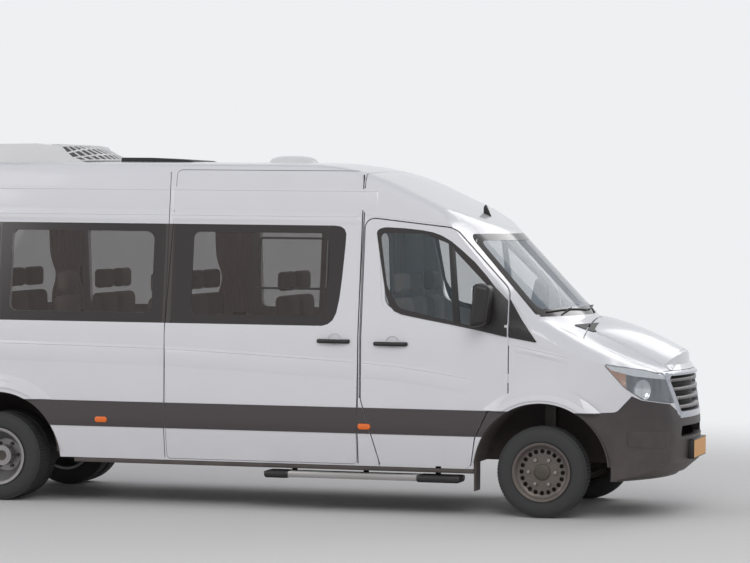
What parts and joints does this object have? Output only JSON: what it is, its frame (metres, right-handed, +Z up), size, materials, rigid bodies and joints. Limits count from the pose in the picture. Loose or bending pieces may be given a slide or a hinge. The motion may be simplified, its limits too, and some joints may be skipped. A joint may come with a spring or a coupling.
{
  "type": "passenger minibus",
  "caption": "High-roof passenger minibus with glazed sides, a sliding door, opening cab and rear doors, hood, steered front wheels, twin rear wheels and a roof cooler.",
  "frame": {"origin": "on the ground under the middle of the overall box", "axes": "+X to the front, +Y to the vehicle left, +Z up"},
  "size_m": [6.945, 2.4196, 2.7888],
  "materials": {
    "body_paint": "gloss",
    "window_glass": "gloss",
    "lamp_lens": "gloss",
    "tail_lens": "gloss",
    "black_plastic": "matte",
    "dark_plastic": "matte",
    "grille_trim": "gloss",
    "plate_yellow": "gloss",
    "white_plastic": "gloss",
    "tyre_rubber": "matte",
    "wheel_steel": "satin",
    "frame_steel": "satin",
    "bare_steel": "satin",
    "cast_metal": "rough",
    "floor_vinyl": "matte",
    "seat_fabric": "matte"
  },
  "bodies": {
    "chassis": {"cab_frame": "body_paint", "cowl": "black_plastic", "dashboard": "dark_plastic", "engine": "cast_metal", "exhaust": "bare_steel", "floor_pan": "floor_vinyl", "frame_rails": "frame_steel", "front_bumper": "dark_plastic", "front_fenders": "body_paint", "front_suspension": "frame_steel", "fuel_tank": "black_plastic", "grille": "black_plastic", "grille_surround": "grille_trim", "headlamps": "lamp_lens", "number_plate": "plate_yellow", "rear_axle": "frame_steel", "rear_bumper": "dark_plastic", "rear_frame": "body_paint", "roof_cooler": "white_plastic", "roof_fittings": "black_plastic", "roof_panel": "body_paint", "seat_frames": "frame_steel", "seats": "seat_fabric", "side_panel_left": "body_paint", "side_panel_right": "body_paint", "side_step": "frame_steel", "side_windows": "window_glass", "sliding_door": "body_paint", "sliding_door_handle": "black_plastic", "tail_lamps": "tail_lens", "wheel_arch_liners": "black_plastic", "windscreen": "window_glass"},
    "front_door_left": {"front_door_left": "body_paint", "front_door_glass_left": "window_glass", "front_door_fittings_left": "black_plastic"},
    "front_door_right": {"front_door_right": "body_paint", "front_door_glass_right": "window_glass", "front_door_fittings_right": "black_plastic"},
    "rear_door_left": {"rear_door_left": "body_paint", "rear_door_glass_left": "window_glass"},
    "rear_door_right": {"rear_door_right": "body_paint", "rear_door_glass_right": "window_glass"},
    "hood": {"hood": "body_paint"},
    "steering_wheel": {"steering_wheel": "black_plastic"},
    "knuckle_left": {"knuckle_left": "cast_metal"},
    "knuckle_right": {"knuckle_right": "cast_metal"},
    "front_wheel_left": {"front_tyre_left": "tyre_rubber", "front_rim_left": "wheel_steel"},
    "front_wheel_right": {"front_tyre_right": "tyre_rubber", "front_rim_right": "wheel_steel"},
    "rear_wheels_left": {"rear_tyres_left": "tyre_rubber", "rear_rims_left": "wheel_steel"},
    "rear_wheels_right": {"rear_tyres_right": "tyre_rubber", "rear_rims_right": "wheel_steel"}
  },
  "joints": [
    {"name": "steer_left", "type": "hinge", "parent": "chassis", "child": "knuckle_left", "pos_m": [2.435, 0.79, 0.345], "axis": [0, 0, 1], "range_deg": [-35, 35]},
    {"name": "front_wheel_spin_left", "type": "hinge", "parent": "knuckle_left", "child": "front_wheel_left", "pos_m": [2.435, 0.855, 0.345], "axis": [0, 1, 0], "continuous": true},
    {"name": "rear_wheel_spin_left", "type": "hinge", "parent": "chassis", "child": "rear_wheels_left", "pos_m": [-1.89, 0.7725, 0.345], "axis": [0, 1, 0], "continuous": true},
    {"name": "front_door_hinge_left", "type": "hinge", "parent": "chassis", "child": "front_door_left", "pos_m": [2.1825, 0.985, 1.18], "axis": [0, 0, -1], "range_deg": [0, 68]},
    {"name": "rear_door_hinge_left", "type": "hinge", "parent": "chassis", "child": "rear_door_left", "pos_m": [-3.444, 0.8005, 1.1], "axis": [0, 0, -1], "range_deg": [0, 180]},
    {"name": "steer_right", "type": "hinge", "parent": "chassis", "child": "knuckle_right", "pos_m": [2.435, -0.79, 0.345], "axis": [0, 0, 1], "range_deg": [-35, 35]},
    {"name": "front_wheel_spin_right", "type": "hinge", "parent": "knuckle_right", "child": "front_wheel_right", "pos_m": [2.435, -0.855, 0.345], "axis": [0, 1, 0], "continuous": true},
    {"name": "rear_wheel_spin_right", "type": "hinge", "parent": "chassis", "child": "rear_wheels_right", "pos_m": [-1.89, -0.7725, 0.345], "axis": [0, 1, 0], "continuous": true},
    {"name": "front_door_hinge_right", "type": "hinge", "parent": "chassis", "child": "front_door_right", "pos_m": [2.1825, -0.985, 1.18], "axis": [0, 0, 1], "range_deg": [0, 68]},
    {"name": "rear_door_hinge_right", "type": "hinge", "parent": "chassis", "child": "rear_door_right", "pos_m": [-3.444, -0.8005, 1.1], "axis": [0, 0, 1], "range_deg": [0, 180]},
    {"name": "hood_hinge", "type": "hinge", "parent": "chassis", "child": "hood", "pos_m": [2.694, 0, 1.478], "axis": [0, -1, 0], "range_deg": [0, 50]},
    {"name": "steering_wheel_turn", "type": "hinge", "parent": "chassis", "child": "steering_wheel", "pos_m": [1.85, 0.43, 1.33], "axis": [-0.8829, 0, 0.4695], "range_deg": [-525, 525]}
  ],
  "couplings": [
    {"joint": "steer_right", "follows": "steer_left", "ratio": 1},
    {"joint": "steering_wheel_turn", "follows": "steer_left", "ratio": 15}
  ]
}
